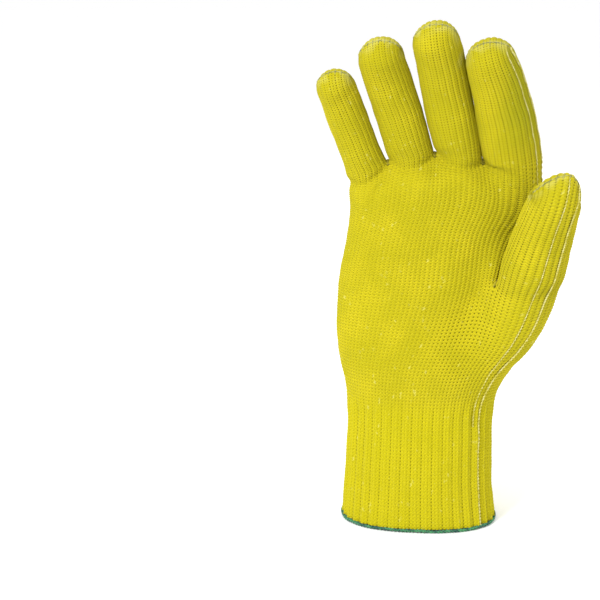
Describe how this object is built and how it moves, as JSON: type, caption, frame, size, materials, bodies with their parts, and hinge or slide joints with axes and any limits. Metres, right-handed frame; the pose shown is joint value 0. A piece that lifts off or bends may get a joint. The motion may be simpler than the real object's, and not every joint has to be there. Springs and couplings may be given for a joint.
{
  "type": "cut resistant glove",
  "caption": "Knitted cut-resistant glove for the right hand, with a ribbed elastic cuff, an overlocked edge, and fingers, thumb and wrist that bend.",
  "frame": {"origin": "centre of the cuff's mouth, in the plane of its rim", "axes": "+Z from the cuff rim to the fingertips, the palm faces -Y, the thumb is at +X"},
  "size_m": [0.1205, 0.0688, 0.2434],
  "materials": {
    "knit": "knitted cut-resistant yarn, bright greenish yellow",
    "knit_bend": "the same knit, where it bends at a joint",
    "overlock": "green overlock thread",
    "elastic": "covered elastic thread",
    "edge_yarn": "off-white yarn"
  },
  "bodies": {
    "cuff_body": {"overlock_edge": "overlock", "cuff": "knit", "elastic_threads": "elastic", "yarn_cuff": "edge_yarn"},
    "hand": {"wrist_band": "knit_bend", "lower_palm": "knit", "upper_palm": "knit", "crotch_little_ring": "knit", "crotch_ring_middle": "knit", "crotch_middle_index": "knit", "crotch_thumb": "knit", "yarn_palm": "edge_yarn", "little_base_band": "knit_bend", "ring_base_band": "knit_bend", "middle_base_band": "knit_bend", "index_base_band": "knit_bend", "thumb_base_band": "knit_bend"},
    "little_finger_lower": {"little_lower": "knit", "little_middle_band": "knit_bend"},
    "little_finger_middle": {"little_middle": "knit", "little_tip_band": "knit_bend"},
    "little_finger_tip": {"little_tip": "knit", "little_tip_stitch": "edge_yarn"},
    "ring_finger_lower": {"ring_lower": "knit", "ring_middle_band": "knit_bend"},
    "ring_finger_middle": {"ring_middle": "knit", "ring_tip_band": "knit_bend"},
    "ring_finger_tip": {"ring_tip": "knit", "ring_tip_stitch": "edge_yarn"},
    "middle_finger_lower": {"middle_lower": "knit", "middle_middle_band": "knit_bend"},
    "middle_finger_middle": {"middle_middle": "knit", "middle_tip_band": "knit_bend"},
    "middle_finger_tip": {"middle_tip": "knit", "middle_tip_stitch": "edge_yarn"},
    "index_finger_lower": {"index_lower": "knit", "index_middle_band": "knit_bend", "yarn_index_lower": "edge_yarn"},
    "index_finger_middle": {"index_middle": "knit", "index_tip_band": "knit_bend", "yarn_index_middle": "edge_yarn"},
    "index_finger_tip": {"index_tip": "knit", "index_tip_stitch": "edge_yarn", "yarn_index_tip": "edge_yarn"},
    "thumb_low": {"thumb_lower": "knit", "thumb_joint_band": "knit_bend", "yarn_thumb_lower": "edge_yarn"},
    "thumb_end": {"thumb_tip": "knit", "thumb_tip_stitch": "edge_yarn", "yarn_thumb_tip": "edge_yarn"}
  },
  "joints": [
    {"name": "wrist_bend", "type": "hinge", "parent": "cuff_body", "child": "hand", "pos_m": [0, 0, 0.062], "axis": [1, 0, 0], "range_deg": [-30, 30], "stiffness_Nm_per_rad": 0.4, "deforming": ["wrist_band"]},
    {"name": "little_base_bend", "type": "hinge", "parent": "hand", "child": "little_finger_lower", "pos_m": [-0.02904, -0.00396, 0.17971], "axis": [1, 0, 0], "range_deg": [-20, 55], "stiffness_Nm_per_rad": 0.012, "deforming": ["little_base_band"]},
    {"name": "little_middle_bend", "type": "hinge", "parent": "little_finger_lower", "child": "little_finger_middle", "pos_m": [-0.0341, -0.0065, 0.19439], "axis": [1, 0, 0], "range_deg": [-18, 60], "stiffness_Nm_per_rad": 0.008, "deforming": ["little_middle_band"]},
    {"name": "little_tip_bend", "type": "hinge", "parent": "little_finger_middle", "child": "little_finger_tip", "pos_m": [-0.03856, -0.01172, 0.20619], "axis": [1, 0, 0], "range_deg": [-11, 36], "stiffness_Nm_per_rad": 0.006, "deforming": ["little_tip_band"]},
    {"name": "ring_base_bend", "type": "hinge", "parent": "hand", "child": "ring_finger_lower", "pos_m": [-0.00788, -0.00438, 0.18686], "axis": [1, 0, 0], "range_deg": [-20, 55], "stiffness_Nm_per_rad": 0.02, "deforming": ["ring_base_band"]},
    {"name": "ring_middle_bend", "type": "hinge", "parent": "ring_finger_lower", "child": "ring_finger_middle", "pos_m": [-0.01329, -0.00757, 0.20508], "axis": [1, 0, 0], "range_deg": [-18, 60], "stiffness_Nm_per_rad": 0.012, "deforming": ["ring_middle_band"]},
    {"name": "ring_tip_bend", "type": "hinge", "parent": "ring_finger_middle", "child": "ring_finger_tip", "pos_m": [-0.01774, -0.01362, 0.21874], "axis": [1, 0, 0], "range_deg": [-11, 36], "stiffness_Nm_per_rad": 0.008, "deforming": ["ring_tip_band"]},
    {"name": "middle_base_bend", "type": "hinge", "parent": "hand", "child": "middle_finger_lower", "pos_m": [0.01508, -0.00454, 0.18745], "axis": [1, 0, 0], "range_deg": [-20, 55], "stiffness_Nm_per_rad": 0.02, "deforming": ["middle_base_band"]},
    {"name": "middle_middle_bend", "type": "hinge", "parent": "middle_finger_lower", "child": "middle_finger_middle", "pos_m": [0.01074, -0.00831, 0.20908], "axis": [1, 0, 0], "range_deg": [-18, 60], "stiffness_Nm_per_rad": 0.012, "deforming": ["middle_middle_band"]},
    {"name": "middle_tip_bend", "type": "hinge", "parent": "middle_finger_middle", "child": "middle_finger_tip", "pos_m": [0.00732, -0.01518, 0.2246], "axis": [1, 0, 0], "range_deg": [-11, 36], "stiffness_Nm_per_rad": 0.008, "deforming": ["middle_tip_band"]},
    {"name": "index_base_bend", "type": "hinge", "parent": "hand", "child": "index_finger_lower", "pos_m": [0.04047, -0.00492, 0.17866], "axis": [1, 0, 0], "range_deg": [-20, 55], "stiffness_Nm_per_rad": 0.02, "deforming": ["index_base_band"]},
    {"name": "index_middle_bend", "type": "hinge", "parent": "index_finger_lower", "child": "index_finger_middle", "pos_m": [0.03549, -0.00855, 0.20063], "axis": [1, 0, 0], "range_deg": [-18, 60], "stiffness_Nm_per_rad": 0.012, "deforming": ["index_middle_band"]},
    {"name": "index_tip_bend", "type": "hinge", "parent": "index_finger_middle", "child": "index_finger_tip", "pos_m": [0.03158, -0.01534, 0.21634], "axis": [1, 0, 0], "range_deg": [-11, 36], "stiffness_Nm_per_rad": 0.008, "deforming": ["index_tip_band"]},
    {"name": "thumb_base_bend", "type": "hinge", "parent": "hand", "child": "thumb_low", "pos_m": [0.04791, -0.02066, 0.12589], "axis": [-0.621, 0.7011, 0.3505], "range_deg": [-30, 15], "stiffness_Nm_per_rad": 0.03, "deforming": ["thumb_base_band"]},
    {"name": "thumb_tip_bend", "type": "hinge", "parent": "thumb_low", "child": "thumb_end", "pos_m": [0.05387, -0.0268, 0.14876], "axis": [-0.621, 0.7011, 0.3505], "range_deg": [-40, 10], "stiffness_Nm_per_rad": 0.015, "deforming": ["thumb_joint_band"]}
  ],
  "couplings": [
    {"joint": "little_tip_bend", "follows": "little_middle_bend", "ratio": 0.6},
    {"joint": "ring_tip_bend", "follows": "ring_middle_bend", "ratio": 0.6},
    {"joint": "middle_tip_bend", "follows": "middle_middle_bend", "ratio": 0.6},
    {"joint": "index_tip_bend", "follows": "index_middle_bend", "ratio": 0.6}
  ]
}
